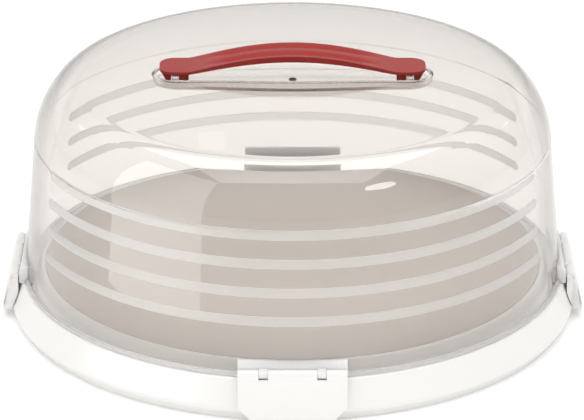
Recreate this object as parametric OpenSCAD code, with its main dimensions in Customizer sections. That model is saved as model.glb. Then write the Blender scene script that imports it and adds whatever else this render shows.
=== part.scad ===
// Round cake carrier: a white base, a clear dome hinged at its back, three clips and a carry handle.
// Millimetres. The front faces -Y, Z points up, and the base stands on Z = 0.

/* [Base] */
// Radius of the base at its lip
base_r = 170; // [150:1:190]
// Height of the ledge that the dome stands on
base_h = 24; // [20:0.5:32]
// Wall of the base
base_wall = 2.2; // [1.6:0.1:3]
// How far the foot ring stands in from the lip
foot_inset = 3.5; // [3:0.1:5]
// How far the skirt stands in from the lip, just below it
skirt_inset = 2.8; // [2.4:0.1:3]
// Height of the lip's underside
lip_z = 5.5; // [5:0.1:6.5]
// Height of the lip's upright edge
lip_t = 2.5; // [1.5:0.1:4]
// How far the ledge's outer edge stands in from the lip
ledge_inset = 5.5; // [4.5:0.1:7]
// Width of the ledge
ledge_w = 10.5; // [9:0.1:13]
// Height of the locating rim above the ledge
rim_h = 6.2; // [4:0.1:8]
// How far the rim's outer face leans in
rim_lean = 2; // [1:0.1:3]
// Width of the rim's top
rim_w = 2.7; // [1.5:0.1:4]
// Depth of the recess for the serving plate
recess_h = 1.9; // [1.2:0.1:2.6]
// Depth of the ribs under the floor
rib_h = 3.8; // [2:0.1:6]
// Thickness of a rib
rib_t = 2; // [1.2:0.1:3]
// Radius of the ring rib
rib_ring_r = 75; // [50:1:110]
// Number of radial ribs
rib_n = 8; // [4:1:12]

/* [Serving plate] */
// Thickness of the serving plate
plate_t = 2; // [1.5:0.1:3]

/* [Dome] */
// Wall of the dome
dome_wall = 1.6; // [1.2:0.1:2.2]
// Height of the crease ring above the ledge
dome_h = 121; // [90:1:150]
// Lean of the wall, in degrees
wall_lean = 5; // [2:0.5:8]
// Radius of the shoulder
shoulder_r = 50; // [35:1:60]
// Slope of the shoulder where it ends at the crease ring, in degrees
crease_turn = 52; // [45:1:60]
// Rise of the shallow cap inside the crease ring
cap_rise = 3.8; // [2:0.1:6]
// Thickness of the foot flange
flange_t = 2; // [1.5:0.1:3]
// How far the flange stands out from the wall
flange_out = 1.4; // [1:0.1:2]
// How far the flange stands in from the ledge's outer edge
flange_inset = 1.5; // [1:0.1:2.5]

/* [Bands] */
// Number of frosted bands round the front
band_n = 4; // [1:1:4]
// Number of frosted bands round the rear
band_rear_n = 3; // [1:1:4]
// Height of a band
band_h = 5.8; // [4:0.1:8]
// Height from the ledge to the middle of the lowest band
band_z = 33.5; // [28:0.5:36]
// Spacing of the bands
band_pitch = 16.9; // [12:0.1:17.5]
// How far a band stands proud of the wall
band_relief = 0.3; // [0.2:0.05:0.5]
// Sweep of the front bands, in degrees
band_front = 131; // [90:1:150]
// Sweep of the rear bands, in degrees
band_rear = 128; // [90:1:150]

/* [Handle pocket] */
// Gap from an end of the handle to the end of the pocket
pocket_end_gap = 2.5; // [2:0.1:12]
// Gap beside the handle at the pocket's middle
pocket_side_gap = 5.5; // [4:0.1:9]
// Gap beside the handle at the pocket's ends
pocket_tip_gap = 2; // [1.5:0.1:3]
// Depth of the pocket below the top of the cap
pocket_h = 6; // [5.2:0.1:7]

/* [Handle] */
// Length of the handle
handle_l = 157.7; // [152:0.1:160]
// Width of the handle
handle_w = 25; // [20:0.5:26]
// Corner radius of the handle's ends
handle_corner = 9; // [6:0.5:10]
// Rise of the arch above the flat ends
handle_rise = 9.8; // [6:0.1:16]
// Length of each flat end
handle_flat = 16.9; // [16:0.1:20]
// Thickness of the flat ends
strap_end_t = 1.7; // [1.2:0.1:1.9]
// Thickness of the arch at its middle
strap_mid_t = 3.6; // [2.5:0.1:5]
// Width of a flute along the top
flute_w = 6; // [4:0.5:7]
// Depth of a flute
flute_h = 0.8; // [0.4:0.1:1.2]
// Distance from an end of the arch to the end of a flute
flute_inset = 10; // [7:0.5:30]
// Width of the prongs under the ends
prong_w = 16; // [12:0.5:17]
// Thickness of the inner prong
prong_in_t = 5.8; // [4:0.1:7]
// Thickness of the outer prong at its tip
prong_out_t = 3.2; // [2.4:0.1:3.6]
// Distance from an end of the handle to the middle of its lug
lug_inset = 9.3; // [8.9:0.1:9.8]
// Thickness of a lug
lug_t = 4; // [3:0.1:4.6]
// Width of a lug at its foot
lug_w = 8; // [6:0.5:10]
// Height of the handle's pins above the pocket floor
handle_pin_h = 4.8; // [4.6:0.1:5.4]
// Radius of the handle's pins
handle_pin_r = 1.2; // [0.9:0.05:1.4]
// Radius of the lug's round top
lug_r = 2.4; // [2.2:0.1:2.6]
// Wall of a prong below its pin
prong_wall = 1.1; // [0.8:0.1:1.4]

/* [Clips and hinge] */
// Width of a clip, of its bracket and of the hinge plate
clip_w = 62; // [54:1:70]
// Width of a clip's lower edge
clip_foot_w = 48; // [40:1:52]
// Height of a clip's tapered part
clip_taper_h = 7; // [5:0.5:9]
// Thickness of a clip
clip_t = 2; // [1.6:0.1:2.3]
// Thickness of a clip's end walls
cheek_t = 1.6; // [1.2:0.1:2]
// Height of a clip's lower edge above the table
clip_foot_z = 4; // [3.6:0.1:4.3]
// How far a clip's lower edge stands out from the lip
clip_out = 4.2; // [3.8:0.1:5]
// Distance that the hinge line stands in from the lip
axis_inset = 3.5; // [3.3:0.1:3.6]
// Height of the hinge line above the ledge
axis_h = 4.9; // [4.8:0.1:5.4]
// Radius of a hinge barrel
barrel_r = 2.5; // [2.3:0.05:2.55]
// Radius of a hinge pin
pin_r = 1.2; // [1:0.05:1.4]
// Width of an ear
ear_w = 5; // [4:0.1:6]
// Distance from a clip's middle to the middle of an ear
ear_x = 16.5; // [14:0.5:19]
// Width of a clip's finger scoop
scoop_w = 29; // [20:1:36]
// Depth of a clip's finger scoop
scoop_h = 0.6; // [0.3:0.1:0.8]
// Radius of a clip's finger scoop
scoop_r = 6; // [5:0.5:8]
// Height of the slope behind a clip's nose
nose_rise = 1.2; // [0.8:0.1:2]
// Height of the ramp on top of a bracket
ramp_h = 3.7; // [2.5:0.1:6]

/* [Clearances] */
// Gap between the serving plate and its recess
plate_gap = 0.3; // [0.2:0.05:0.6]
// Gap under the dome's flange
seat_gap = 0.2; // [0.1:0.05:0.3]
// Gap between a clip's nose and the lip
nose_gap = 0.3; // [0.2:0.05:0.5]
// Gap beside an ear, and round a barrel
hinge_gap = 0.3; // [0.2:0.05:0.4]
// Gap between a prong and its lug
prong_gap = 0.25; // [0.2:0.05:0.4]
// Gap between a lug's top and the handle
lug_gap = 0.4; // [0.3:0.05:0.8]
// How much smaller an ear is than the barrels beside it
ear_gap = 0.1; // [0.05:0.05:0.3]
// Gap between a clip's end walls and the base
cheek_gap = 0.5; // [0.4:0.05:0.8]
// Radial clearance of a pin that turns in its bore
run_gap = 0.05; // [0.02:0.01:0.08]
// Gap between the hinge plate's saddle and the base
saddle_gap = 0.05; // [0.03:0.01:0.1]

/* [Hidden] */
$fn = 96;

// Directions that the clips face, as turns about Z from the front
turn_front = 0;
turn_right = 90;
turn_rear = 180;
turn_left = 270;

// How far a solid reaches into the one it is joined to
sink = 0.4;
// Length by which a cut passes the face that it opens
past = 5;
// Steps along a curve
steps = 12;
// Fullness of the handle's arch, where 1 is a parabola
arch_power = 1.2;
// Share of the outer prong that a handle pin fills
pin_share = 0.75;
// Where the hinge plate's saddle ends and starts, as shares of the way down its arm
saddle_top = 0.4;
saddle_end = 0.8;

// Base
foot_r = base_r - foot_inset;
ledge_r = base_r - ledge_inset;
rim_foot_r = ledge_r - ledge_w;
rim_out_r = rim_foot_r - rim_lean;
rim_in_r = rim_out_r - rim_w;
rim_z = base_h + rim_h;
recess_z = rim_z - recess_h;
floor_z = recess_z - base_wall;

// Serving plate
plate_r = rim_in_r - plate_gap;

// Dome
dome_z = base_h + seat_gap;
flange_r = ledge_r - flange_inset;
dome_foot_r = flange_r - flange_out;
crease_z = base_h + dome_h;
shoulder_z = crease_z - shoulder_r * sin(crease_turn);
shoulder_c = wall_r(shoulder_z + shoulder_r * sin(wall_lean)) - shoulder_r * cos(wall_lean);
crease_r = shoulder_c + shoulder_r * cos(crease_turn);
cap_z = crease_z + cap_rise;
cap_ball_r = (pow(crease_r, 2) + pow(cap_rise, 2)) / (2 * cap_rise);
pocket_z = cap_z - pocket_h;
pocket_l = handle_l + 2 * pocket_end_gap;
pocket_w = handle_w + 2 * pocket_side_gap;
pocket_end_w = handle_w + 2 * pocket_tip_gap;

// Handle
handle_pin_z = pocket_z + handle_pin_h;
prong_r = handle_pin_r + prong_wall;
strap_z = handle_pin_z + lug_r + lug_gap;
arch_x = handle_l / 2 - handle_flat;
lug_x = handle_l / 2 - lug_inset;
slot_in = lug_x - lug_t / 2 - prong_gap;
slot_out = lug_x + lug_t / 2 + prong_gap;
flute_y = handle_w / 4;
handle_pin_l = lug_t + 2 * (prong_gap + pin_share * prong_out_t);
flute_l = 2 * (arch_x - flute_inset);

// Clips and hinge
axis_r = base_r - axis_inset;
axis_z = base_h + axis_h;
bracket_r = axis_r - barrel_r - hinge_gap;
nose_r = base_r + nose_gap;
ear_r = barrel_r - ear_gap;

// Outer radius of the dome's wall at height z
function wall_r(z) = dome_foot_r - tan(wall_lean) * (z - dome_z);

// Height of the cap at distance r from the axis
function cap_height(r) = cap_z - cap_ball_r + sqrt(pow(cap_ball_r, 2) - pow(r, 2));

// Share of the arch's rise at distance x from the handle's middle
function arch(x) = abs(x) >= arch_x ? 0 : pow(1 - pow(x / arch_x, 2), arch_power);

// Outer radius of a clip, where s goes from 0 at the barrel to 1 at the lower edge
function clip_r(s) = axis_r + barrel_r + (base_r + clip_out - axis_r - barrel_r) * sin(90 * s);
function clip_z(s) = axis_z + (clip_foot_z - axis_z) * s;

// Section of the dome, as the solid that a wall of thickness t leaves inside
module dome_section(t) {
    arc_r = shoulder_r - t;
    flank = t / cos(wall_lean);
    low_z = t > 0 ? dome_z - past : dome_z;
    cap_edge = shoulder_c + arc_r * cos(crease_turn);
    polygon(concat(
        [[0, low_z], [wall_r(low_z) - flank, low_z]],
        [for (i = [0 : 2 * steps])
            let (a = wall_lean + (crease_turn - wall_lean) * i / (2 * steps))
            [shoulder_c + arc_r * cos(a), shoulder_z + arc_r * sin(a)]],
        [for (i = [1 : steps])
            let (r = cap_edge * (1 - i / steps))
            [r, cap_height(r) - t]]
    ));
}

// Plan of the pocket, grown outwards by g
module pocket_plan(g) {
    end_r = pocket_end_w / 2;
    reach = pocket_l / 2 - end_r;
    swell = (pocket_w - pocket_end_w) / 2;
    polygon(concat(
        [for (i = [-steps : steps])
            let (x = reach * i / steps)
            [x, end_r + g + swell * pow(cos(90 * i / steps), 2)]],
        [for (i = [1 : steps - 1])
            let (a = 90 - 180 * i / steps)
            [reach + (end_r + g) * cos(a), (end_r + g) * sin(a)]],
        [for (i = [-steps : steps])
            let (x = -reach * i / steps)
            [x, -end_r - g - swell * pow(cos(90 * i / steps), 2)]],
        [for (i = [1 : steps - 1])
            let (a = 270 - 180 * i / steps)
            [-reach + (end_r + g) * cos(a), (end_r + g) * sin(a)]]
    ));
}

// A profile of radius and height, extruded across the front over width w
module across(w) {
    rotate([90, 0, -90])
        linear_extrude(w, center = true)
            children();
}

// A round bar along X on the hinge line of the front
module hinge_bar(r, l) {
    translate([0, -axis_r, axis_z])
        rotate([0, 90, 0])
            cylinder(r = r, h = l, center = true);
}

// One frosted band, centred on the direction that is turned by a from +X
module band(z, sweep, a) {
    low = z - band_h / 2;
    high = z + band_h / 2;
    rotate([0, 0, a - sweep / 2])
        rotate_extrude(angle = sweep)
            polygon([
                [wall_r(low) - sink, low],
                [wall_r(low) + band_relief, low],
                [wall_r(high) + band_relief, high],
                [wall_r(high) - sink, high]
            ]);
}

// Bracket and ears that carry one clip or the hinge
module bracket() {
    top_z = axis_z + barrel_r;
    deep_r = wall_r(top_z + ramp_h) - dome_wall;
    root_r = sqrt(pow(deep_r, 2) - pow(clip_w / 2, 2)) - sink;
    across(clip_w)
        polygon([
            [root_r, dome_z],
            [bracket_r, dome_z],
            [bracket_r, top_z],
            [wall_r(top_z + ramp_h), top_z + ramp_h],
            [root_r, top_z + ramp_h]
        ]);
    for (side = [-1, 1]) {
        translate([side * ear_x, 0, 0]) {
            hinge_bar(ear_r, ear_w);
            translate([-ear_w / 2, -axis_r, axis_z - ear_r])
                cube([ear_w, axis_r - bracket_r + sink, 2 * ear_r]);
        }
    }
}

// Two lugs that carry the handle, standing on the pocket floor
module handle_lugs() {
    for (side = [-1, 1]) {
        translate([side * lug_x, 0, 0]) {
            translate([-lug_t / 2, -lug_w / 2, pocket_z - sink])
                cube([lug_t, lug_w, handle_pin_h + sink]);
            translate([0, 0, handle_pin_z])
                rotate([0, 90, 0])
                    cylinder(r = lug_r, h = lug_t, center = true);
        }
    }
}

module base_tray() {
    color("white") {
        difference() {
            base_solid(0);
            rotate_extrude()
                polygon([
                    [0, -past],
                    [foot_r - base_wall, -past],
                    [foot_r - base_wall, 0],
                    [ledge_r - base_wall, base_h - base_wall],
                    [rim_foot_r - base_wall, base_h - base_wall],
                    [rim_out_r - base_wall, floor_z],
                    [0, floor_z]
                ]);
        }
        base_ribs();
    }
}

// Outer form of the base, grown outwards by g
module base_solid(g) {
    rotate_extrude()
        polygon([
            [0, 0],
            [foot_r + g, 0],
            [base_r - skirt_inset + g, lip_z],
            [base_r + g, lip_z],
            [base_r + g, lip_z + lip_t],
            [ledge_r + g, base_h],
            [rim_foot_r + g, base_h],
            [rim_out_r + g, rim_z],
            [rim_in_r, rim_z],
            [rim_in_r, recess_z],
            [0, recess_z]
        ]);
}

// Ring and radial ribs under the floor
module base_ribs() {
    low_z = floor_z - rib_h;
    rib_l = rim_out_r - base_wall - rib_ring_r;
    translate([0, 0, low_z]) {
        difference() {
            cylinder(r = rib_ring_r, h = rib_h + sink);
            translate([0, 0, -past])
                cylinder(r = rib_ring_r - rib_t, h = rib_h + sink + 2 * past);
        }
        for (i = [0 : rib_n - 1])
            rotate([0, 0, 360 * (i + 0.5) / rib_n])
                translate([rib_ring_r - rib_t / 2, -rib_t / 2, 0])
                    cube([rib_l, rib_t, rib_h + sink]);
    }
}

module serving_plate() {
    color("silver")
        translate([0, 0, recess_z])
            cylinder(r = plate_r, h = plate_t);
}

module dome_lid() {
    color("aliceblue", 0.4)
        difference() {
            union() {
                difference() {
                    union() {
                        rotate_extrude()
                            dome_section(0);
                        translate([0, 0, dome_z])
                            cylinder(r = flange_r, h = flange_t);
                        for (i = [0 : band_n - 1])
                            band(base_h + band_z + i * band_pitch, band_front, turn_rear + 90);
                        for (i = [0 : band_rear_n - 1])
                            band(base_h + band_z + i * band_pitch, band_rear, turn_right);
                        for (a = [turn_front, turn_right, turn_rear, turn_left])
                            rotate([0, 0, a])
                                bracket();
                    }
                    difference() {
                        rotate_extrude()
                            dome_section(dome_wall);
                        translate([0, 0, pocket_z - dome_wall])
                            linear_extrude(pocket_h + dome_wall + past)
                                pocket_plan(dome_wall);
                    }
                    translate([0, 0, pocket_z])
                        linear_extrude(pocket_h + past)
                            pocket_plan(0);
                }
                handle_lugs();
            }
            for (a = [turn_front, turn_right, turn_rear, turn_left])
                rotate([0, 0, a])
                    for (side = [-1, 1])
                        translate([side * ear_x, 0, 0])
                            hinge_bar(pin_r, ear_w + 2 * hinge_gap);
            for (side = [-1, 1])
                translate([side * lug_x, 0, handle_pin_z])
                    rotate([0, 90, 0])
                        cylinder(r = handle_pin_r + run_gap, h = lug_t + 2 * prong_gap, center = true);
        }
}

// Plan of the handle
module handle_plan() {
    cx = handle_l / 2 - handle_corner;
    cy = handle_w / 2 - handle_corner;
    square([handle_l, 2 * cy], center = true);
    square([2 * cx, handle_w], center = true);
    for (x = [-cx, cx])
        for (y = [-cy, cy])
            translate([x, y])
                circle(handle_corner);
}

// Side view of the handle's strap
module strap_side() {
    half = handle_l / 2;
    bow = [for (i = [-2 * steps : 2 * steps]) arch_x * i / (2 * steps)];
    xs = concat([-half], bow, [half]);
    top = [for (x = xs) [x, strap_z + strap_end_t + handle_rise * arch(x)]];
    low = [for (i = [len(xs) - 1 : -1 : 0])
        let (x = xs[i])
        [x, strap_z + (handle_rise + strap_end_t - strap_mid_t) * arch(x)]];
    polygon(concat(top, low));
}

// Side view of what a flute takes off the strap
module flute_side() {
    xs = [for (i = [-steps : steps]) flute_l / 2 * i / steps];
    low = [for (x = xs)
        [x, strap_z + strap_end_t + handle_rise * arch(x) - flute_h * cos(180 * x / flute_l)]];
    polygon(concat(low, [[flute_l / 2, strap_z + 2 * handle_rise], [-flute_l / 2, strap_z + 2 * handle_rise]]));
}

module carry_handle() {
    color("firebrick")
        difference() {
            union() {
                intersection() {
                    rotate([90, 0, 0])
                        linear_extrude(handle_w, center = true)
                            strap_side();
                    translate([0, 0, pocket_z])
                        linear_extrude(2 * (handle_rise + handle_pin_h + past))
                            handle_plan();
                }
                intersection() {
                    rotate([90, 0, 0])
                        linear_extrude(prong_w, center = true)
                            for (side = [-1, 1])
                                scale_x(side)
                                    prong_side();
                    translate([0, 0, pocket_z])
                        linear_extrude(2 * (handle_rise + handle_pin_h + past))
                            handle_plan();
                }
            }
            for (y = [-flute_y, flute_y])
                translate([0, y, 0])
                    rotate([90, 0, 0])
                        linear_extrude(flute_w, center = true)
                            flute_side();
            for (side = [-1, 1])
                translate([side * lug_x, 0, handle_pin_z])
                    rotate([0, 90, 0])
                        cylinder(r = handle_pin_r, h = handle_pin_l, center = true);
        }
}

// A copy for the right side, or its mirror image for the left
module scale_x(side) {
    if (side > 0)
        children();
    else
        mirror([1, 0])
            children();
}

// Side view of the two prongs of the right end
module prong_side() {
    low = handle_pin_z - prong_r;
    polygon([
        [slot_in - prong_in_t, low],
        [slot_in, low],
        [slot_in, strap_z + sink],
        [slot_in - prong_in_t, strap_z + sink]
    ]);
    polygon([
        [slot_out, low],
        [slot_out + prong_out_t, low],
        [handle_l / 2, strap_z],
        [handle_l / 2, strap_z + sink],
        [slot_out, strap_z + sink]
    ]);
}

module handle_pin(side) {
    color("gainsboro")
        translate([side * lug_x, 0, handle_pin_z])
            rotate([0, 90, 0])
                cylinder(r = handle_pin_r, h = handle_pin_l, center = true);
}

// Front outline of a clip
module clip_outline() {
    top_z = axis_z + barrel_r;
    taper_z = clip_foot_z + clip_taper_h;
    polygon([
        [-clip_w / 2, top_z],
        [-clip_w / 2, taper_z],
        [-clip_foot_w / 2, clip_foot_z],
        [clip_foot_w / 2, clip_foot_z],
        [clip_w / 2, taper_z],
        [clip_w / 2, top_z]
    ]);
}

// Section of a clip's arm, with a nose that reaches in to radius tip_r below height tip_z
module clip_section(tip_r, tip_z) {
    face = [for (i = [0 : steps]) [clip_r(i / steps), clip_z(i / steps)]];
    back = [for (i = [steps - 3 : -1 : 0]) [clip_r(i / steps) - clip_t, clip_z(i / steps)]];
    polygon(concat(
        face,
        [[tip_r, clip_foot_z], [tip_r, tip_z], [clip_r(1) - clip_t, tip_z + nose_rise]],
        back
    ));
}

// Front outline of one end wall of a clip
module cheek_outline(side) {
    top_z = axis_z + barrel_r;
    taper_z = clip_foot_z + clip_taper_h;
    polygon([
        [side * (clip_w / 2 - cheek_t), top_z],
        [side * clip_w / 2, top_z],
        [side * clip_w / 2, taper_z],
        [side * clip_foot_w / 2, clip_foot_z],
        [side * (clip_foot_w / 2 - cheek_t), clip_foot_z],
        [side * (clip_w / 2 - cheek_t), taper_z]
    ]);
}

// End walls of a clip, from its arm in to the base
module clip_cheeks() {
    inner_r = bracket_r + 2 * hinge_gap;
    arm = [for (i = [0 : steps]) [clip_r(i / steps) - clip_t / 2, clip_z(i / steps)]];
    difference() {
        for (side = [-1, 1])
            intersection() {
                across(clip_w)
                    polygon(concat([[inner_r, clip_foot_z], [inner_r, axis_z]], arm));
                rotate([90, 0, 0])
                    linear_extrude(2 * (base_r + clip_out), center = true)
                        cheek_outline(side);
            }
        base_solid(cheek_gap);
        cylinder(r = base_r + cheek_gap, h = lip_z + lip_t);
    }
}

// Arm, end walls, barrels and scoop of a clip that faces the front
module clip_body(tip_r, tip_z) {
    difference() {
        union() {
            intersection() {
                across(clip_w)
                    clip_section(tip_r, tip_z);
                rotate([90, 0, 0])
                    linear_extrude(2 * (base_r + clip_out), center = true)
                        clip_outline();
            }
            hinge_bar(barrel_r, clip_w);
            clip_cheeks();
        }
        for (side = [-1, 1])
            translate([side * ear_x, -axis_r, axis_z])
                cube([ear_w + 2 * hinge_gap, 4 * barrel_r, 2 * (barrel_r + hinge_gap)], center = true);
        hinge_bar(pin_r + run_gap, clip_w + 2 * past);
        translate([0, scoop_h - clip_r(1) - scoop_r, clip_foot_z + clip_taper_h / 2])
            rotate([0, 90, 0])
                cylinder(r = scoop_r, h = scoop_w, center = true);
    }
}

module clip(a) {
    color("white")
        rotate([0, 0, a])
            clip_body(nose_r, lip_z);
}

module hinge_plate() {
    saddle_low = lip_z + lip_t;
    hook_r = base_r - skirt_inset / 2;
    color("white")
        rotate([0, 0, turn_rear])
            difference() {
                union() {
                    clip_body(hook_r, lip_z);
                    across(clip_foot_w)
                        polygon([
                            [ledge_r, saddle_low],
                            [clip_r(saddle_end) - clip_t / 2, saddle_low],
                            [clip_r(saddle_top) - clip_t / 2, clip_z(saddle_top)],
                            [ledge_r, clip_z(saddle_top)]
                        ]);
                }
                base_solid(saddle_gap);
            }
}

module clip_pin(a) {
    color("gainsboro")
        rotate([0, 0, a])
            hinge_bar(pin_r, clip_w - 2 * hinge_gap);
}

base_tray();
serving_plate();
hinge_plate();
clip_pin(turn_rear);  // hinge_pin
dome_lid();
carry_handle();
handle_pin(-1);  // handle_pin_left
handle_pin(1);  // handle_pin_right
clip(turn_front);  // clip_front
clip(turn_left);  // clip_left
clip(turn_right);  // clip_right
clip_pin(turn_front);  // clip_pin_front
clip_pin(turn_left);  // clip_pin_left
clip_pin(turn_right);  // clip_pin_right
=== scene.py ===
import math

import bmesh
import bpy
from mathutils import Matrix, Vector


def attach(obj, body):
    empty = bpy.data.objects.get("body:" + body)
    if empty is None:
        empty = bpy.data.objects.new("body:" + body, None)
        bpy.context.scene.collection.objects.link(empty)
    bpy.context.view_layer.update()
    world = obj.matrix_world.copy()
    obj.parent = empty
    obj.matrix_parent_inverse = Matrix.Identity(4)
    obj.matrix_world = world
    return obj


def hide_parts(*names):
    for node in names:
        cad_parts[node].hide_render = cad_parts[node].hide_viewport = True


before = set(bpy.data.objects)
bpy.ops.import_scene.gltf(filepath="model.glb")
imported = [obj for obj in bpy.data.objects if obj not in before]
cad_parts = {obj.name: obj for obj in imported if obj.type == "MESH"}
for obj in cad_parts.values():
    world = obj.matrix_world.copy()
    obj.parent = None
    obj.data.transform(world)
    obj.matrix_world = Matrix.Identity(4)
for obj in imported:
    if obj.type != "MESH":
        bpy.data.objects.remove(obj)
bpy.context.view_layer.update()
mm = 0.001
print("frame loaded")


# Camera, as fitted to the rings and bands in the photograph

camera = {
    "distance": 2.0584,
    "elevation": 22.44,
    "targetHeight": 0.076,
    "focalPixels": 3424,
    "axisPixel": (292.6, 183.7),
    "framePixels": (584, 420),
    "sensor": 36.0,
}


def makeCamera():
    width, height = camera["framePixels"]
    tilt = math.radians(camera["elevation"])
    data = bpy.data.cameras.new("camera")
    data.sensor_width = camera["sensor"]
    data.lens = camera["sensor"] * camera["focalPixels"] / width
    data.shift_x = (width / 2 - camera["axisPixel"][0]) / width
    data.shift_y = (camera["axisPixel"][1] - height / 2) / width
    data.clip_start = 0.1
    data.clip_end = 50
    obj = bpy.data.objects.new("camera", data)
    bpy.context.scene.collection.objects.link(obj)
    target = Vector((0, 0, camera["targetHeight"]))
    obj.location = target + camera["distance"] * Vector((0, -math.cos(tilt), math.sin(tilt)))
    obj.rotation_euler = (target - obj.location).to_track_quat("-Z", "Y").to_euler()
    bpy.context.scene.camera = obj


# Sizes in millimetres, the same as the solids have

base = {
    "lipRadius": 170,
    "lipLow": 5.5,
    "lipHigh": 8,
    "footRadius": 166.5,
    "skirtRadius": 167.2,
    "ledgeRadius": 164.5,
    "ledgeHeight": 24,
    "rimFoot": 154,
    "rimOuter": 152,
    "rimInner": 149.3,
    "rimHeight": 30.2,
    "recess": 28.3,
    "wall": 2.2,
    "ribDepth": 3.8,
    "ribThickness": 2,
    "ribRing": 75,
    "ribCount": 8,
    "steps": 256,
}

plate = {"radius": 149, "low": 28.3, "high": 30.3, "edge": 0.5, "steps": 256}

dome = {
    "footHeight": 24.2,
    "flangeRadius": 163,
    "flangeHeight": 2,
    "footRadius": 161.6,
    "wallLean": 5,
    "wall": 1.6,
    "shoulderRadius": 50,
    "creaseTurn": 52,
    "creaseHeight": 145,
    "capRise": 3.8,
    "creaseRound": 6,
    "bandCounts": {"front": 4, "rear": 3},
    "bandHeight": 5.8,
    "bandLow": 57.5,
    "bandPitch": 16.9,
    "bandRelief": 0.28,
    "bandBevel": 0.35,
    "bandNip": 1.6,
    "bandSweeps": {"front": 65.5, "rear": 63.5},
    "steps": 360,
    "capShares": (0.02, 0.08, 0.2, 0.35, 0.5, 0.65, 0.8, 0.92, 0.98, 1),
}

pocket = {
    "halfLength": 81.35,
    "middleHalf": 18,
    "endHalf": 14.5,
    "depth": 6,
    "round": 1.0,
    "gateRadius": 2.3,
    "gateHeight": 0.6,
}

handle = {
    "length": 157.7,
    "width": 25,
    "corner": 9,
    "flatTop": 152.1,
    "rise": 9.8,
    "archHalf": 61.95,
    "archPower": 1.2,
    "endThickness": 1.7,
    "middleThickness": 3.6,
    "fluteCentre": 6.25,
    "fluteHalf": 4.4,
    "fluteDepth": 1.25,
    "fluteReach": 52,
    "edgeRound": 0.75,
    "prongHalf": 8,
    "prongLow": 145.3,
    "innerProng": (61.5, 67.3),
    "outerProng": (71.8, 75.0),
    "pinHeight": 147.6,
}

lug = {"centre": 69.55, "thickness": 4, "width": 8, "radius": 2.4}

clip = {
    "width": 62,
    "footWidth": 48,
    "taperTop": 11,
    "low": 4,
    "thickness": 2,
    "standOut": 174.2,
    "axisRadius": 166.5,
    "axisHeight": 28.9,
    "barrel": 2.5,
    "pin": 1.25,
    "earCentre": 16.5,
    "earWidth": 5,
    "earRadius": 2.45,
    "gap": 0.1,
    "noseRadius": 170.3,
    "hookRadius": 168.6,
    "noseRise": 1.2,
    "armTop": 0.12,
    "sillShare": 0.105,
    "scoopHalf": 15,
    "scoopHeight": 8.2,
    "scoopReach": 3.8,
    "scoopDepth": 0.55,
    "edgeRound": 0.35,
    "cheek": 1.6,
    "cheekGap": 0.5,
    "cheekTop": 27.8,
    "cheekInner": 164.3,
    "bracketRadius": 163.7,
    "rampHeight": 3.7,
    "columns": 32,
}

turns = {"front": 0, "right": 90, "rear": 180, "left": 270}


# Shared mesh helpers

sharpAngle = math.radians(32)


def finishPiece(name, bm, materials, body, slotName, *nodes):
    bmesh.ops.remove_doubles(bm, verts=bm.verts, dist=1e-6)
    faceOutwards(bm)
    for face in bm.faces:
        face.smooth = True
    for edge in bm.edges:
        edge.smooth = edge.calc_face_angle(0) < sharpAngle
    mesh = bpy.data.meshes.new(name)
    bm.to_mesh(mesh)
    bm.free()
    for material in materials:
        mesh.materials.append(material)
    piece = bpy.data.objects.new(name, mesh)
    bpy.context.scene.collection.objects.link(piece)
    weigh = piece.modifiers.new("flat faces", "WEIGHTED_NORMAL")
    weigh.keep_sharp = True
    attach(piece, body)
    if nodes:
        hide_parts(*nodes)
    print("made", name, "with", len(mesh.polygons), "faces")
    return piece


def roundedPath(corners, steps=4):
    # Each corner is radius, height and how far its round reaches; the first and last stay sharp
    path = [Vector(corners[0][:2])]
    for i in range(1, len(corners) - 1):
        here = Vector(corners[i][:2])
        back = Vector(corners[i - 1][:2]) - here
        ahead = Vector(corners[i + 1][:2]) - here
        reach = min(corners[i][2], 0.3 * back.length, 0.3 * ahead.length)
        start = here + back.normalized() * reach
        end = here + ahead.normalized() * reach
        path.append(here + back.normalized() * reach * 1.6)
        for k in range(steps + 1):
            t = k / steps
            path.append((1 - t) ** 2 * start + 2 * t * (1 - t) * here + t * t * end)
        path.append(here + ahead.normalized() * reach * 1.6)
    path.append(Vector(corners[-1][:2]))
    return path


def spinPath(bm, path, steps, startTurn=0):
    turn = Matrix.Rotation(startTurn, 3, "Z")
    verts = [bm.verts.new(turn @ Vector((x * mm, 0, z * mm))) for x, z in path]
    edges = [bm.edges.new(pair) for pair in zip(verts, verts[1:])]
    bmesh.ops.spin(
        bm, geom=verts + edges, cent=(0, 0, 0), axis=(0, 0, 1),
        angle=math.tau, steps=steps, use_merge=True,
    )
    bmesh.ops.remove_doubles(bm, verts=bm.verts, dist=1e-6)


def faceOutwards(bm):
    bmesh.ops.recalc_face_normals(bm, faces=bm.faces)
    bm.normal_update()


def bevelEdges(bm, edges, size, segments=2):
    faceOutwards(bm)
    bmesh.ops.bevel(
        bm, geom=list(edges), offset=size * mm, offset_type="OFFSET", affect="EDGES",
        segments=segments, profile=0.5, material=-1, clamp_overlap=True,
    )


def sharpEdges(bm, limit=50):
    faceOutwards(bm)
    return [e for e in bm.edges if len(e.link_faces) == 2 and e.calc_face_angle(0) > math.radians(limit)]


def joinInto(bm, other):
    # Copies another bmesh's faces into this one
    mesh = bpy.data.meshes.new("joined")
    other.to_mesh(mesh)
    other.free()
    bm.from_mesh(mesh)
    bpy.data.meshes.remove(mesh)


def makeBox(low, high, bevel=0.3, segments=2):
    bm = bmesh.new()
    bmesh.ops.create_cube(bm, size=1)
    size = Vector(high) - Vector(low)
    middle = (Vector(high) + Vector(low)) / 2
    bmesh.ops.scale(bm, vec=size * mm, verts=bm.verts)
    bmesh.ops.translate(bm, vec=middle * mm, verts=bm.verts)
    if bevel:
        bevelEdges(bm, bm.edges, bevel, segments)
    return bm


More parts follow.
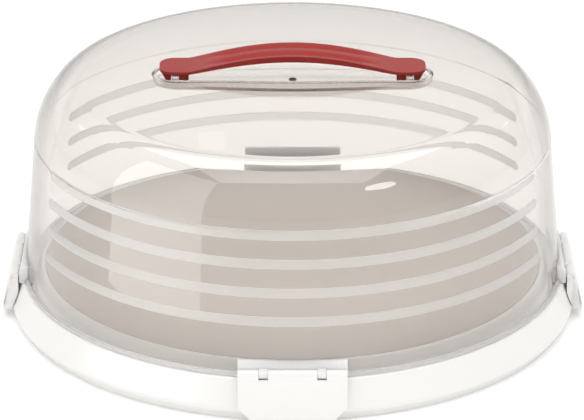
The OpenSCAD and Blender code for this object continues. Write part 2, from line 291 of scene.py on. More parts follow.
def makeRod(start, end, radius, centre, segments=40, bevel=0.25):
    # A round bar along X; centre is its Y and Z
    bm = bmesh.new()
    middle = Vector(((start + end) / 2, centre[0], centre[1])) * mm
    place = Matrix.Translation(middle) @ Matrix.Rotation(math.pi / 2, 4, "Y")
    bmesh.ops.create_cone(
        bm, cap_ends=True, segments=segments, radius1=radius * mm, radius2=radius * mm,
        depth=(end - start) * mm, matrix=place,
    )
    if bevel:
        bevelEdges(bm, sharpEdges(bm), bevel)
    return bm


def paint(bm, index):
    for face in bm.faces:
        face.material_index = index


def turnAbout(bm, degrees):
    bmesh.ops.rotate(bm, cent=(0, 0, 0), matrix=Matrix.Rotation(math.radians(degrees), 3, "Z"), verts=bm.verts)


# Materials


class NodeKit:
    # Short calls for one material's nodes
    def __init__(self, name):
        self.material = bpy.data.materials.new(name)
        self.material.use_nodes = True
        self.tree = self.material.node_tree
        self.shader = self.tree.nodes["Principled BSDF"]
        self.place = self.tree.nodes.new("ShaderNodeTexCoord")

    def noise(self, scale, detail=2.0, roughness=0.5):
        node = self.tree.nodes.new("ShaderNodeTexNoise")
        node.inputs["Scale"].default_value = scale
        node.inputs["Detail"].default_value = detail
        node.inputs["Roughness"].default_value = roughness
        self.tree.links.new(self.place.outputs["Object"], node.inputs["Vector"])
        return node

    def vary(self, source, low, high, socket):
        # Spreads a noise over a range and feeds a shader socket
        node = self.tree.nodes.new("ShaderNodeMapRange")
        node.inputs["From Min"].default_value = 0.3
        node.inputs["From Max"].default_value = 0.7
        node.inputs["To Min"].default_value = low
        node.inputs["To Max"].default_value = high
        self.tree.links.new(source.outputs["Fac"], node.inputs["Value"])
        self.tree.links.new(node.outputs["Result"], self.shader.inputs[socket])

    def tint(self, source, first, second):
        node = self.tree.nodes.new("ShaderNodeMix")
        node.data_type = "RGBA"
        node.inputs["A"].default_value = (*first, 1)
        node.inputs["B"].default_value = (*second, 1)
        self.tree.links.new(source.outputs["Fac"], node.inputs["Factor"])
        self.tree.links.new(node.outputs["Result"], self.shader.inputs["Base Color"])

    def paintEdgeShade(self, start, face, edge):
        # Painted shade: the clear plastic's colour is darkened to brown where it is seen edge on, standing in for dark
        # surroundings seen in the wall
        weight = self.tree.nodes.new("ShaderNodeLayerWeight")
        spread = self.tree.nodes.new("ShaderNodeMapRange")
        spread.inputs["From Min"].default_value = start
        self.tree.links.new(weight.outputs["Facing"], spread.inputs["Value"])
        node = self.tree.nodes.new("ShaderNodeMix")
        node.data_type = "RGBA"
        node.inputs["A"].default_value = (*face, 1)
        node.inputs["B"].default_value = (*edge, 1)
        self.tree.links.new(spread.outputs["Result"], node.inputs["Factor"])
        self.tree.links.new(node.outputs["Result"], self.shader.inputs["Base Color"])

    def bump(self, source, distance, strength):
        node = self.tree.nodes.new("ShaderNodeBump")
        node.inputs["Distance"].default_value = distance
        node.inputs["Strength"].default_value = strength
        self.tree.links.new(source.outputs["Fac"], node.inputs["Height"])
        self.tree.links.new(node.outputs["Normal"], self.shader.inputs["Normal"])

    def set(self, **values):
        for socket, value in values.items():
            self.shader.inputs[socket.replace("_", " ")].default_value = value


whitePlastic = {
    "colour": ((0.893, 0.883, 0.871), (0.918, 0.908, 0.896)),
    "roughness": (0.3, 0.34),
    "grain": 900,
    "grainDepth": 0.00001,
}

greyPlastic = {
    "colour": ((0.64, 0.59, 0.553), (0.68, 0.628, 0.59)),
    "roughness": (0.45, 0.58),
    "grain": 1400,
    "grainDepth": 0.00006,
}

redPlastic = {
    "colour": ((0.29, 0.026, 0.022), (0.34, 0.033, 0.028)),
    "roughness": (0.24, 0.34),
    "grain": 1100,
    "grainDepth": 0.00005,
    "gloss": 0.22,
}

clearPlastic = {
    "colour": (0.95, 0.928, 0.907),
    # painted shade for the wall where it is seen edge on
    "edgeShadeColour": (0.10, 0.085, 0.07),
    "edgeShadeFrom": 0.64,
    "index": 1.45,
    "transmission": 0.97,
    "roughness": (0.0, 0.035),
    "flow": 9,
    "flowDepth": 0.0006,
}

frostedPlastic = {
    "colour": ((0.93, 0.915, 0.90), (0.96, 0.945, 0.93)),
    "transmission": 0.66,
    "roughness": (0.32, 0.42),
    "grain": 1500,
    "grainDepth": 0.00008,
}


milkyPlastic = dict(frostedPlastic, transmission=0.6, colour=((0.95, 0.94, 0.93), (0.97, 0.96, 0.95)))
pocketPlastic = dict(
    frostedPlastic, transmission=0.98, roughness=(0.02, 0.06), colour=((0.985, 0.965, 0.945), (0.995, 0.98, 0.965)),
)
blockPlastic = dict(
    frostedPlastic, transmission=0.1, depth=0.006, colour=((0.96, 0.955, 0.95), (0.98, 0.975, 0.97)),
)
earPlastic = dict(frostedPlastic, transmission=0.1, colour=whitePlastic["colour"])
# the gate mark's dark grey is painted shade, not the plastic's own colour
gateShadePlastic = dict(greyPlastic, colour=((0.16, 0.15, 0.14), (0.20, 0.18, 0.17)))


def makePlastic(name, look):
    kit = NodeKit(name)
    kit.tint(kit.noise(14, 3), *look["colour"])
    kit.vary(kit.noise(60, 3), *look["roughness"], "Roughness")
    kit.bump(kit.noise(look["grain"], 2), look["grainDepth"], 0.6)
    kit.set(IOR=1.46, Specular_IOR_Level=look.get("gloss", 0.5))
    return kit.material


def makeClear(name, look):
    kit = NodeKit(name)
    # the wall's colour darkens to painted shade where it is seen edge on
    kit.paintEdgeShade(look["edgeShadeFrom"], look["colour"], look["edgeShadeColour"])
    kit.set(IOR=look["index"], Transmission_Weight=look["transmission"])
    kit.vary(kit.noise(30, 2), *look["roughness"], "Roughness")
    kit.bump(kit.noise(look["flow"], 1, 0.3), look["flowDepth"], 0.25)
    return kit.material


def makeFrosted(name, look):
    kit = NodeKit(name)
    kit.tint(kit.noise(220, 3), *look["colour"])
    kit.vary(kit.noise(400, 2), *look["roughness"], "Roughness")
    kit.bump(kit.noise(look["grain"], 2), look["grainDepth"], 0.5)
    kit.set(IOR=1.47, Transmission_Weight=look["transmission"])
    if "depth" in look:  # light sinks in this far, in metres
        kit.set(Subsurface_Weight=1, Subsurface_Radius=(1, 0.97, 0.94), Subsurface_Scale=look["depth"])
    return kit.material


baseWhite = makePlastic("moulded_white", whitePlastic)
clipWhite = makePlastic("clip_white", whitePlastic)
plateGrey = makePlastic("plate_grey", greyPlastic)
handleRed = makePlastic("handle_red", redPlastic)
domeClear = makeClear("dome_clear", clearPlastic)
bandFrosted = makeFrosted("band_frosted", frostedPlastic)
footMilky = makeFrosted("foot_milky", milkyPlastic)
pocketMilky = makeFrosted("pocket_milky", pocketPlastic)
bracketClear = makeFrosted("bracket_clear", blockPlastic)
earWhite = makeFrosted("ear_white", earPlastic)
gateShadeGrey = makePlastic("gate_painted_shade", gateShadePlastic)
print("materials made")


# Base, with its ribs below

def makeBase():
    bm = bmesh.new()
    b = base
    wallTop = b["ledgeHeight"] - b["wall"]
    floorLow = b["recess"] - b["wall"]
    corners = [
        (0, b["recess"], 0),
        (b["rimInner"], b["recess"], 0.3),
        (b["rimInner"], b["rimHeight"], 0.5),
        (b["rimOuter"], b["rimHeight"], 0.8),
        (b["rimFoot"], b["ledgeHeight"], 0.8),
        (b["ledgeRadius"], b["ledgeHeight"], 0.7),
        (b["lipRadius"], b["lipHigh"], 0.9),
        (b["lipRadius"], b["lipLow"], 0.5),
        (b["skirtRadius"], b["lipLow"], 0.3),
        (b["footRadius"], 0, 0.6),
        (b["footRadius"] - b["wall"], 0, 0.6),
        (b["ledgeRadius"] - b["wall"], wallTop, 1.5),
        (b["rimFoot"] - b["wall"], wallTop, 1.0),
        (b["rimOuter"] - b["wall"], floorLow, 1.0),
        (0, floorLow, 0),
    ]
    spinPath(bm, roundedPath(corners), b["steps"])
    ribLow = floorLow - b["ribDepth"]
    ribTop = floorLow + 0.3
    half = b["ribThickness"] / 2
    ring = [
        (b["ribRing"], ribTop, 0),
        (b["ribRing"], ribLow, 0.4),
        (b["ribRing"] - b["ribThickness"], ribLow, 0.4),
        (b["ribRing"] - b["ribThickness"], ribTop, 0),
        (b["ribRing"], ribTop, 0),
    ]
    ringMesh = bmesh.new()
    spinPath(ringMesh, roundedPath(ring), b["steps"])
    joinInto(bm, ringMesh)
    for i in range(b["ribCount"]):
        rib = makeBox((b["ribRing"] - half, -half, ribLow), (b["rimOuter"] - b["wall"] - 1, half, ribTop))
        turnAbout(rib, 360 * (i + 0.5) / b["ribCount"])
        joinInto(bm, rib)
    finishPiece("base_moulding", bm, [baseWhite], "base", "base_white", "base_tray")


def makePlate():
    bm = bmesh.new()
    p = plate
    corners = [
        (0, p["high"], 0),
        (p["radius"], p["high"], p["edge"]),
        (p["radius"], p["low"], p["edge"]),
        (0, p["low"], 0),
    ]
    spinPath(bm, roundedPath(corners), p["steps"])
    finishPiece("grey_plate", bm, [plateGrey], "plate", "plate_grey", "serving_plate")


# Dome

def wallRadius(z):
    return dome["footRadius"] - math.tan(math.radians(dome["wallLean"])) * (z - dome["footHeight"])


def shoulderCentre():
    lean = math.radians(dome["wallLean"])
    z = dome["creaseHeight"] - dome["shoulderRadius"] * math.sin(math.radians(dome["creaseTurn"]))
    x = wallRadius(z + dome["shoulderRadius"] * math.sin(lean)) - dome["shoulderRadius"] * math.cos(lean)
    return x, z


def creaseRadius():
    return shoulderCentre()[0] + dome["shoulderRadius"] * math.cos(math.radians(dome["creaseTurn"]))


def capHeight(r):
    edge, rise = creaseRadius(), dome["capRise"]
    ball = (edge * edge + rise * rise) / (2 * rise)
    return dome["creaseHeight"] + rise - ball + math.sqrt(ball * ball - r * r)


def shoulderPath(inset, steps=26):
    # Up the shoulder and round the crease, to where the cap begins
    x, z = shoulderCentre()
    r = dome["shoulderRadius"] - inset
    reach = dome["creaseRound"]
    start, end = dome["wallLean"], dome["creaseTurn"] - math.degrees(reach / r)
    angles = [math.radians(start + (end - start) * i / steps) for i in range(steps + 1)]
    points = [Vector((x + r * math.cos(a), z + r * math.sin(a))) for a in angles]
    turn = math.radians(dome["creaseTurn"])
    corner = Vector((x + r * math.cos(turn), z + r * math.sin(turn)))
    first = points[-1]
    last = Vector((corner.x - reach, capHeight(corner.x - reach) - inset))
    for k in range(1, 11):
        t = k / 10
        points.append((1 - t) ** 2 * first + 2 * t * (1 - t) * corner + t * t * last)
    return points


def bandHeights():
    half = dome["bandHeight"] / 2
    middles = [dome["bandLow"] + dome["bandPitch"] * i for i in range(dome["bandCounts"]["front"])]
    return [(m - half, m + half) for m in middles]


def pocketHalfWidth(x, grow):
    reach = pocket["halfLength"] - pocket["endHalf"]
    if abs(x) <= reach:
        swell = (pocket["middleHalf"] - pocket["endHalf"]) * math.cos(math.pi / 2 * x / reach) ** 2
        return pocket["endHalf"] + grow + swell
    past = abs(x) - reach
    return math.sqrt(max(0, (pocket["endHalf"] + grow) ** 2 - past * past))


def pocketQuarter(grow, steps=90):
    # Points spaced evenly along a quarter of the pocket's outline, from its end to its side
    reach = pocket["halfLength"] - pocket["endHalf"]
    end = pocket["endHalf"] + grow
    fine = [(reach + end * math.cos(a), end * math.sin(a)) for a in (math.pi / 2 * i / 200 for i in range(200))]
    fine += [(x, pocketHalfWidth(x, grow)) for x in (reach * (1 - i / 600) for i in range(601))]
    run = [0]
    for a, b in zip(fine, fine[1:]):
        run.append(run[-1] + math.dist(a, b))
    points = []
    k = 0
    for i in range(2 * steps + 1):
        goal = run[-1] * i / (2 * steps)
        while k < len(run) - 2 and run[k + 1] < goal:
            k += 1
        t = (goal - run[k]) / (run[k + 1] - run[k])
        points.append([fine[k][j] + t * (fine[k + 1][j] - fine[k][j]) for j in (0, 1)])
    return points


def extruded(result, kind):
    return [item for item in result["geom"] if isinstance(item, kind)]


def makeCap(bm, inset):
    # Draws the open ring at the crease in to the pocket, then sinks and closes the pocket
    middle = dome["creaseHeight"] - dome["wall"] / 4
    edges = [e for e in bm.edges if e.is_boundary and (e.verts[0].co.z > middle * mm) == (inset == 0)]
    quarter = pocketQuarter(inset)
    spokes = {}
    for vert in {v for e in edges for v in e.verts}:
        turn = math.degrees(math.atan2(abs(vert.co.y), abs(vert.co.x)))
        x, y = quarter[round(2 * turn)]
        end = Vector((math.copysign(x, vert.co.x), math.copysign(y, vert.co.y)))
        spokes[vert] = (vert.co.xy / mm, end)
    for share in dome["capShares"]:
        drawn = bmesh.ops.extrude_edge_only(bm, edges=edges)
        ring = {}
        for vert in extruded(drawn, bmesh.types.BMVert):
            spoke = next(spokes[e.other_vert(vert)] for e in vert.link_edges if e.other_vert(vert) in spokes)
            x, y = spoke[0].lerp(spoke[1], share)
            vert.co = Vector((x, y, capHeight(math.hypot(x, y)) - inset)) * mm
            ring[vert] = spoke
        edges = [e for e in extruded(drawn, bmesh.types.BMEdge) if all(v in ring for v in e.verts)]
        spokes = ring
    down = bmesh.ops.extrude_edge_only(bm, edges=edges)
    floor = capHeight(0) - pocket["depth"] - inset
    for vert in extruded(down, bmesh.types.BMVert):
        vert.co.z = floor * mm
    lowEdges = [e for e in extruded(down, bmesh.types.BMEdge) if e.is_boundary]
    bmesh.ops.edgeloop_fill(bm, edges=lowEdges)
    bevelEdges(bm, edges + lowEdges, pocket["round"], 4)
    floorFace = [f for f in bm.faces if len(f.verts) > 100]
    faceOutwards(bm)
    bmesh.ops.inset_region(bm, faces=floorFace, thickness=0.5 * mm)


def markPocket(bm):
    # The pocket's floor, walls and rims are softly frosted, and the foot is milky
    for face in bm.faces:
        x, y, z = face.calc_center_median() / mm
        grow = 1.2 if z > capHeight(math.hypot(x, y)) - 0.3 else 3
        if z > dome["creaseHeight"] - 5 and abs(y) < pocketHalfWidth(x, grow):
            face.material_index = 3
        if z < dome["footHeight"] + dome["flangeHeight"] + 0.7:
            face.material_index = 2


def markBands(bm):
    # Picks the faces of the frosted bands, nips their ends and raises them
    half, count = dome["bandSweeps"], dome["bandCounts"]
    lift = math.tan(math.radians(dome["wallLean"]))
    chosen = []
    ends = set()
    for face in bm.faces:
        centre = face.calc_center_median() / mm
        inside = [h for h in bandHeights() if h[0] < centre.z < h[1]]
        if not inside or centre.xy.length < wallRadius(centre.z) - 0.4:
            continue
        side = "front" if centre.y < 0 else "rear"
        offset = math.degrees(math.atan2(abs(centre.x), abs(centre.y)))
        if offset < half[side] and inside[0] in bandHeights()[:count[side]]:
            chosen.append(face)
            middle = sum(inside[0]) / 2
            for vert in face.verts:
                reach = math.degrees(math.atan2(abs(vert.co.x), abs(vert.co.y)))
                if reach > half[side] - 0.1:
                    ends.add((vert, middle))
    for vert, middle in ends:
        step = math.copysign(dome["bandNip"], middle - vert.co.z / mm)
        radius = vert.co.xy.length / mm
        vert.co.xy *= (radius - lift * step) / radius
        vert.co.z += step * mm
    faceOutwards(bm)
    rims = bmesh.ops.inset_region(
        bm, faces=chosen, thickness=dome["bandBevel"] * mm, use_boundary=True, use_even_offset=True,
    )["faces"]
    for face in chosen + rims:
        face.material_index = 1
    for vert in {v for f in chosen for v in f.verts}:
        out = Vector((vert.co.x, vert.co.y, 0)).normalized()
        out.z = lift
        vert.co += out * dome["bandRelief"] * mm


def makeBracket(turn):
    # A clear block on the wall, curved to it behind, with two ears for the pin
    c = clip
    bm = bmesh.new()
    half = c["width"] / 2
    top = c["axisHeight"] + c["barrel"]
    rampTop = top + c["rampHeight"]
    low = dome["footHeight"] + 0.2
    flangeTop = dome["footHeight"] + dome["flangeHeight"] + 0.05
    front = [(low, c["bracketRadius"]), (top, c["bracketRadius"]), (rampTop, wallRadius(rampTop) + 0.5)]
    back = [(rampTop, 0), (flangeTop, 0), (flangeTop, 2), (low, 2)]  # 0 follows the wall, 2 the flange
    face = bm.faces.new([bm.verts.new((-half * mm, -r * mm, z * mm)) for z, r in front + back])
    grown = bmesh.ops.extrude_face_region(bm, geom=[face])["geom"]
    bmesh.ops.translate(bm, vec=(c["width"] * mm, 0, 0), verts=[v for v in grown if isinstance(v, bmesh.types.BMVert)])
    bm.normal_update()
    bevelEdges(bm, [e for e in bm.edges if all(abs(v.co.y) > 0.1 for v in e.verts)], 0.4)
    across = [e for e in bm.edges if abs(e.verts[0].co.x - e.verts[1].co.x) > 0.9 * c["width"] * mm]
    bmesh.ops.subdivide_edges(bm, edges=across, cuts=15, use_grid_fill=True)
    for vert in bm.verts:
        if abs(vert.co.y) < 0.1:
            r = (wallRadius(vert.co.z / mm) if abs(vert.co.y) < mm else dome["flangeRadius"]) + 0.05
            vert.co.y = -math.sqrt(r * r - (vert.co.x / mm) ** 2) * mm
    paint(bm, 4)
    for side in (-1, 1):
        middle = side * c["earCentre"]
        start, end = middle - c["earWidth"] / 2, middle + c["earWidth"] / 2
        ear = makeRod(start, end, c["earRadius"], (-c["axisRadius"], c["axisHeight"]))
        joinInto(ear, makeBox(
            (start, -c["axisRadius"], c["axisHeight"] - c["earRadius"]),
            (end, -c["bracketRadius"] - 0.02, c["axisHeight"] + c["earRadius"]), 0.2,
        ))
        paint(ear, 5)
        joinInto(bm, ear)
    turnAbout(bm, turn)
    return bm


def makeLug(side):
    middle = side * lug["centre"]
    start, end = middle - lug["thickness"] / 2, middle + lug["thickness"] / 2
    floor = capHeight(0) - pocket["depth"]
    bm = makeBox((start, -lug["width"] / 2, floor + 0.02), (end, lug["width"] / 2, handle["pinHeight"]), 0.3)
    joinInto(bm, makeRod(start, end, lug["radius"], (0, handle["pinHeight"])))
    return bm


def makeDome():
    bm = bmesh.new()
    d = dome
    flank = d["wall"] / math.cos(math.radians(d["wallLean"]))
    flangeTop = d["footHeight"] + d["flangeHeight"]
    foot = [
        (wallRadius(d["footHeight"] + 6) - flank, d["footHeight"] + 6, 0),
        (wallRadius(d["footHeight"]) - flank, d["footHeight"], 0.4),
        (d["flangeRadius"], d["footHeight"], 0.4),
        (d["flangeRadius"], flangeTop, 0.5),
        (wallRadius(flangeTop), flangeTop, 0.4),
        (wallRadius(flangeTop + 2), flangeTop + 2, 0),
    ]
    rows = [(wallRadius(z), z) for pair in bandHeights() for z in pair]
    path = shoulderPath(d["wall"])[::-1] + roundedPath(foot) + rows + shoulderPath(0)
    spinPath(bm, path, d["steps"], math.radians(0.5))
    makeCap(bm, d["wall"])
    makeCap(bm, 0)
    markPocket(bm)
    markBands(bm)
    for turn in turns.values():
        joinInto(bm, makeBracket(turn))
    for side in (-1, 1):
        joinInto(bm, makeLug(side))
    finishPiece("clear_dome", bm, [domeClear, bandFrosted, footMilky, pocketMilky, bracketClear, earWhite], "lid", "dome_clear", "dome_lid")


def makeGateMark():
    # The moulding's round gate mark on the pocket floor; its dark grey is painted shade for the dark look of the small
    # bump
    floor = capHeight(0) - pocket["depth"]
    bm = bmesh.new()
    corners = [
        (0, floor + 0.6 * pocket["gateHeight"], 0),
        (0.5 * pocket["gateRadius"], floor + 0.6 * pocket["gateHeight"], 0.3),
        (0.6 * pocket["gateRadius"], floor + pocket["gateHeight"], 0.3),
        (pocket["gateRadius"], floor + pocket["gateHeight"], 0.3),
        (pocket["gateRadius"], floor + 0.02, 0.1),
        (0, floor + 0.02, 0),
    ]
    spinPath(bm, roundedPath(corners), 40)
    finishPiece("gate_mark", bm, [gateShadeGrey], "lid", "dome_clear")


# Handle

def archShare(x):
    h = handle
    return 0 if abs(x) >= h["archHalf"] else (1 - (x / h["archHalf"]) ** 2) ** h["archPower"]


def planHalf(x):
    # Half width of the handle, round at its ends
    h = handle
    past = abs(x) - (h["length"] / 2 - h["corner"])
    if past <= 0:
        return h["width"] / 2
    return h["width"] / 2 - h["corner"] + math.sqrt(max(0, h["corner"] ** 2 - past * past))


def fluteDrop(x, y):
    h = handle
    off = abs(abs(y) - h["fluteCentre"]) / h["fluteHalf"]
    if off >= 1 or abs(x) >= h["fluteReach"]:
        return 0
    fade = min(1, 2.2 * math.cos(math.pi / 2 * x / h["fluteReach"]))
    return h["fluteDepth"] * fade * math.cos(math.pi / 2 * off) ** 2


def makeHandle():
    h = handle
    bm = bmesh.new()
    columns, rows = 140, 24
    bmesh.ops.create_grid(bm, x_segments=columns, y_segments=rows, size=1)
    half, straight = h["length"] / 2, h["length"] / 2 - h["corner"]
    for vert in bm.verts:
        u, v = vert.co.x, vert.co.y
        if abs(u) > 0.86:  # the last stretch follows the round corner by its angle
            turn = (abs(u) - 0.86) / 0.14 * math.pi / 2
            x = math.copysign(straight + h["corner"] * math.sin(turn), u)
        else:
            x = straight * u / 0.86
        y = v * planHalf(x)
        z = h["flatTop"] + h["rise"] * archShare(x) - fluteDrop(x, y)
        vert.co = Vector((x, y, z)) * mm
    geom = bmesh.ops.extrude_face_region(bm, geom=list(bm.faces))["geom"]
    for vert in (v for v in geom if isinstance(v, bmesh.types.BMVert)):
        x = vert.co.x / mm
        deep = h["endThickness"] + (h["middleThickness"] - h["endThickness"]) * archShare(x)
        vert.co.z = (h["flatTop"] + h["rise"] * archShare(x) - deep) * mm
    faceOutwards(bm)
    bevelEdges(bm, sharpEdges(bm, 60), h["edgeRound"], 4)
    underside = h["flatTop"] - h["endThickness"] + 0.4
    for side in (-1, 1):
        inner = [side * x for x in h["innerProng"]]
        joinInto(bm, makeBox(
            (min(inner), -h["prongHalf"], h["prongLow"]), (max(inner), h["prongHalf"], underside), 0.5, 3,
        ))
        outer = [side * x for x in h["outerProng"]]
        prong = makeBox(
            (min(outer), -h["prongHalf"], h["prongLow"]), (max(outer), h["prongHalf"], underside), 0,
        )
        for vert in prong.verts:  # the outer face slopes out to the strap's end
            if abs(vert.co.x) > 0.99 * h["outerProng"][1] * mm and vert.co.z > h["pinHeight"] * mm:
                vert.co.x = side * (half - 1.0) * mm
        bevelEdges(prong, prong.edges, 0.6, 3)
        joinInto(bm, prong)
    finishPiece("handle_strap", bm, [handleRed], "handle", "handle_red", "carry_handle")


# Clips and the hinge plate

def clipRadius(s):
    start = clip["axisRadius"] + clip["barrel"]
    return start + (clip["standOut"] - start) * math.sin(math.pi / 2 * s)


def clipHeight(s):
    return clip["axisHeight"] + (clip["low"] - clip["axisHeight"]) * s


def scoopDrop(x, z):
    across = abs(x) / clip["scoopHalf"]
    up = abs(z - clip["scoopHeight"]) / clip["scoopReach"]
    if across >= 1 or up >= 1:
        return 0
    return clip["scoopDepth"] * min(1, 2.5 * math.cos(math.pi / 2 * across)) * math.cos(math.pi / 2 * up) ** 2


def loftSection(section, start, end, cuts):
    # A closed section of radius and height, drawn out along X from start to end
    bm = bmesh.new()
    face = bm.faces.new([bm.verts.new((start * mm, -r * mm, z * mm)) for r, z in section])
    grown = bmesh.ops.extrude_face_region(bm, geom=[face])["geom"]
    bmesh.ops.translate(bm, vec=((end - start) * mm, 0, 0), verts=[v for v in grown if isinstance(v, bmesh.types.BMVert)])
    faceOutwards(bm)
    if cuts:
        long = [e for e in bm.edges if abs(e.verts[0].co.x - e.verts[1].co.x) > 0.5 * (end - start) * mm]
        bmesh.ops.subdivide_edges(bm, edges=long, cuts=cuts, use_grid_fill=True)
    return bm


def makeArm(tipRadius):
    c = clip
    steps = 28
    shares = [c["armTop"] + (1 - c["armTop"]) * i / steps for i in range(steps + 1)]
    face = [(clipRadius(s), clipHeight(s)) for s in shares]
    back = [(clipRadius(s) - c["thickness"], clipHeight(s)) for s in shares if clipHeight(s) > base["lipLow"] + c["noseRise"] + 0.6]
    nose = [
        (tipRadius, c["low"]),
        (tipRadius, base["lipLow"]),
        (clipRadius(1) - c["thickness"], base["lipLow"] + c["noseRise"]),
    ]
    bm = loftSection(face + nose + back[::-1], -c["width"] / 2, c["width"] / 2, c["columns"] - 1)
    for vert in bm.verts:
        x, z = vert.co.x / mm, vert.co.z / mm
        s = (c["axisHeight"] - z) / (c["axisHeight"] - c["low"])
        if -vert.co.y / mm > clipRadius(s) - 0.3:
            vert.co.y += scoopDrop(x, z) * mm
        vert.co.x *= 2 * halfWidth(z) / c["width"]
    bevelEdges(bm, sharpEdges(bm, 40), c["edgeRound"])
    for side in (-1, 1):
        joinInto(bm, makeCheek(side))
    return bm


def halfWidth(z):
    # Half the clip's width, less towards its foot
    c = clip
    share = min(1, max(0, (z - c["low"]) / (c["taperTop"] - c["low"])))
    return (c["footWidth"] + (c["width"] - c["footWidth"]) * share) / 2


def makeCheek(side):
    # A wall across the clip's end, from its face in to the base's outline
    c, b = clip, base
    slope = (b["lipRadius"] - b["ledgeRadius"]) / (b["ledgeHeight"] - b["lipHigh"])
    section = []
    for i in range(13):
        z = c["low"] + 0.5 + (c["cheekTop"] - c["low"] - 0.5) * i / 12
        s = (c["axisHeight"] - z) / (c["axisHeight"] - c["low"])
        section.append((clipRadius(s) - c["thickness"] + 0.4, z))
    for r, z in list(reversed(section)):
        wall = b["lipRadius"] - slope * max(0, z - b["lipHigh"])
        inner = math.sqrt(wall ** 2 - (halfWidth(z) - c["cheek"]) ** 2) + c["cheekGap"]
        section.append((min(max(inner, c["cheekInner"]), r - 0.3), z))
    start = c["width"] / 2 - c["cheek"]
    bm = loftSection(section, start, c["width"] / 2 - 0.15, 0)
    for vert in bm.verts:
        vert.co.x += (halfWidth(vert.co.z / mm) - c["width"] / 2) * mm
        vert.co.x *= side
    return bm


def makeKnuckles():
    # Three stretches of barrel, joined down to the arm between the ears
    c = clip
    clear = c["earWidth"] / 2 + c["gap"]
    spans = [
        (-c["width"] / 2, -c["earCentre"] - clear),
        (-c["earCentre"] + clear, c["earCentre"] - clear),
        (c["earCentre"] + clear, c["width"] / 2),
    ]
    armZ = clipHeight(c["armTop"])
    armR = clipRadius(c["armTop"])
    bm = bmesh.new()
    for start, end in spans:
        tube = bmesh.new()
        centre = Vector((0, -c["axisRadius"], c["axisHeight"])) * mm
        corners = [(start, c["pin"]), (start, c["barrel"]), (end, c["barrel"]), (end, c["pin"])]
        verts = [tube.verts.new((x * mm, centre.y, centre.z + r * mm)) for x, r in corners]
        edges = [tube.edges.new((verts[i], verts[(i + 1) % 4])) for i in range(4)]
        bmesh.ops.spin(
            tube, geom=verts + edges, cent=centre, axis=(1, 0, 0), angle=math.tau, steps=40, use_merge=True,
        )
        bmesh.ops.remove_doubles(tube, verts=tube.verts, dist=1e-6)
        faceOutwards(tube)
        bevelEdges(tube, sharpEdges(tube), 0.25)
        joinInto(bm, tube)
        web = [
            (c["axisRadius"] + c["barrel"], c["axisHeight"]),
            (armR, armZ - 0.2),
            (armR - c["thickness"], armZ - 0.2),
            (c["axisRadius"] + 0.9, c["axisHeight"] - c["barrel"] + 0.2),
            (c["axisRadius"] + c["pin"] + 0.3, c["axisHeight"] - 0.5),
        ]
        piece = loftSection(web, start, end, 0)
        bevelEdges(piece, sharpEdges(piece, 60), 0.2)
        joinInto(bm, piece)
    sill = c["axisHeight"] - c["barrel"] - c["gap"]
    inner = armR - c["thickness"]
    section = [(clipRadius(c["sillShare"]), sill), (armR, armZ - 0.2), (inner, armZ - 0.2), (inner, sill)]
    for side in (-1, 1):  # takes the arm up to just below each ear
        middle = side * c["earCentre"]
        joinInto(bm, loftSection(section, middle - clear - 0.1, middle + clear + 0.1, 0))
    return bm


def makeSaddle():
    # Fills between the hinge plate's arm and the base's sloping wall
    c, b = clip, base
    top, low = clipHeight(0.4), b["lipHigh"] + 0.2
    section = [(100, low), (clipRadius(0.8) - 1, low), (clipRadius(0.4) - 1, top), (100, top)]
    bm = loftSection(section, -c["footWidth"] / 2, c["footWidth"] / 2, 15)
    slope = (b["lipRadius"] - b["ledgeRadius"]) / (b["ledgeHeight"] - b["lipHigh"])
    for vert in bm.verts:
        if -vert.co.y / mm < 110:
            r = b["lipRadius"] - slope * (vert.co.z / mm - b["lipHigh"]) + 0.05
            vert.co.y = -math.sqrt(r * r - (vert.co.x / mm) ** 2) * mm
    return bm


def makeClip(side):
    bm = makeArm(clip["noseRadius"])
    joinInto(bm, makeKnuckles())
    turnAbout(bm, turns[side])
    finishPiece(side + "_latch", bm, [clipWhite], side + "_clip", "clip_white", "clip_" + side)


def makeHingePlate():
    bm = makeArm(clip["hookRadius"])
    joinInto(bm, makeKnuckles())
    joinInto(bm, makeSaddle())
    turnAbout(bm, turns["rear"])
    finishPiece("rear_plate", bm, [clipWhite], "base", "clip_white", "hinge_plate")


def dressPins():
    for name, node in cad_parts.items():
        if "pin" in name:
            for place in node.material_slots:
                place.material = handleRed if name.startswith("handle") else clipWhite


# Studio

studio = {
    "floorColour": (0.93, 0.93, 0.925, 1),
    "floorGlow": 0.12,
    "sky": (0.70, 0.693, 0.683, 1),
    "floorSize": 30,
}

# turn is counted from the front to the right; a plain mirror light shows in gloss and lights nothing
lights = {
    "overhead": {"size": (1.56, 1.5), "turn": 0, "elevation": 76, "distance": 1.24, "power": 12.6, "level": True},
    "overheadGloss": {"size": (1.56, 1.5), "turn": 0, "elevation": 76, "distance": 1.23, "power": 3.5, "level": True, "mirror": True},
    "leftCard": {"size": (0.214, 0.34), "turn": -47.7, "elevation": 15.5, "distance": 0.345, "facing": -53.3, "power": 0.72, "mirror": True},
    "rightLamp": {"size": (0.33, 0.19), "turn": 41, "elevation": 35, "distance": 1.5, "power": 1.8, "mirror": True, "round": True},
    "leftSpot": {"size": (0.14, 0.12), "turn": -120.4, "elevation": 25.3, "distance": 1.58, "power": 0.09, "mirror": True},
    "rightSpot": {"size": (0.14, 0.12), "turn": 124.6, "elevation": 25.7, "distance": 1.58, "power": 0.09, "mirror": True},
    "rearWindow": {"size": (0.033, 0.055), "turn": -175.2, "elevation": 30.9, "distance": 1.44, "power": 0.002, "mirror": True},
}


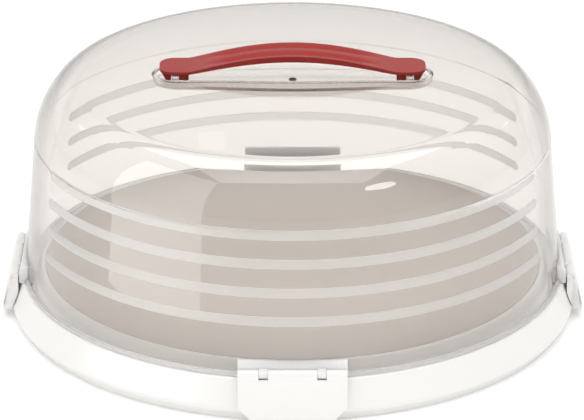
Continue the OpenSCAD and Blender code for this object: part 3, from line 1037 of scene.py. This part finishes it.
def makeLight(name, values):
    data = bpy.data.lights.new(name, "AREA")
    data.shape = "ELLIPSE" if values.get("round") else "RECTANGLE"
    data.size, data.size_y = values["size"]
    data.energy = values["power"]
    obj = bpy.data.objects.new(name, data)
    bpy.context.scene.collection.objects.link(obj)
    up, turn = math.radians(values["elevation"]), math.radians(values["turn"])
    out = Vector((math.sin(turn) * math.cos(up), -math.cos(turn) * math.cos(up), math.sin(up)))
    target = Vector((0, 0, 0.08))
    obj.location = target + out * values["distance"]
    if "facing" in values:  # stands upright and looks level, from this direction
        turn = math.radians(values["facing"])
        out = Vector((math.sin(turn), -math.cos(turn), 0))
    if values.get("level"):
        out = Vector((0, 0, 1))
    obj.rotation_euler = (-out).to_track_quat("-Z", "Y").to_euler()
    obj.visible_camera = False
    obj.visible_diffuse = not values.get("mirror")
    obj.visible_transmission = bool(values.get("level"))


def makeStudio():
    bm = bmesh.new()
    bmesh.ops.create_grid(bm, x_segments=1, y_segments=1, size=studio["floorSize"] / 2)
    mesh = bpy.data.meshes.new("floor")
    bm.to_mesh(mesh)
    bm.free()
    floor = bpy.data.objects.new("floor", mesh)
    bpy.context.scene.collection.objects.link(floor)
    material = bpy.data.materials.new("floor")
    material.use_nodes = True
    shader = material.node_tree.nodes["Principled BSDF"]
    shader.inputs["Base Color"].default_value = studio["floorColour"]
    shader.inputs["Roughness"].default_value = 0.9
    shader.inputs["Specular IOR Level"].default_value = 0.1
    shader.inputs["Emission Color"].default_value = (1, 1, 1, 1)
    shader.inputs["Emission Strength"].default_value = studio["floorGlow"]
    mesh.materials.append(material)
    world = bpy.data.worlds.new("studio")
    bpy.context.scene.world = world
    world.use_nodes = True
    world.node_tree.nodes["Background"].inputs["Color"].default_value = studio["sky"]
    for name, values in lights.items():
        makeLight(name, values)
    bpy.context.scene.view_settings.view_transform = "Standard"


makeCamera()
makeStudio()
print("studio made")
makeBase()
makePlate()
makeDome()
makeGateMark()
makeHandle()
for side in ("front", "left", "right"):
    makeClip(side)
makeHingePlate()
dressPins()
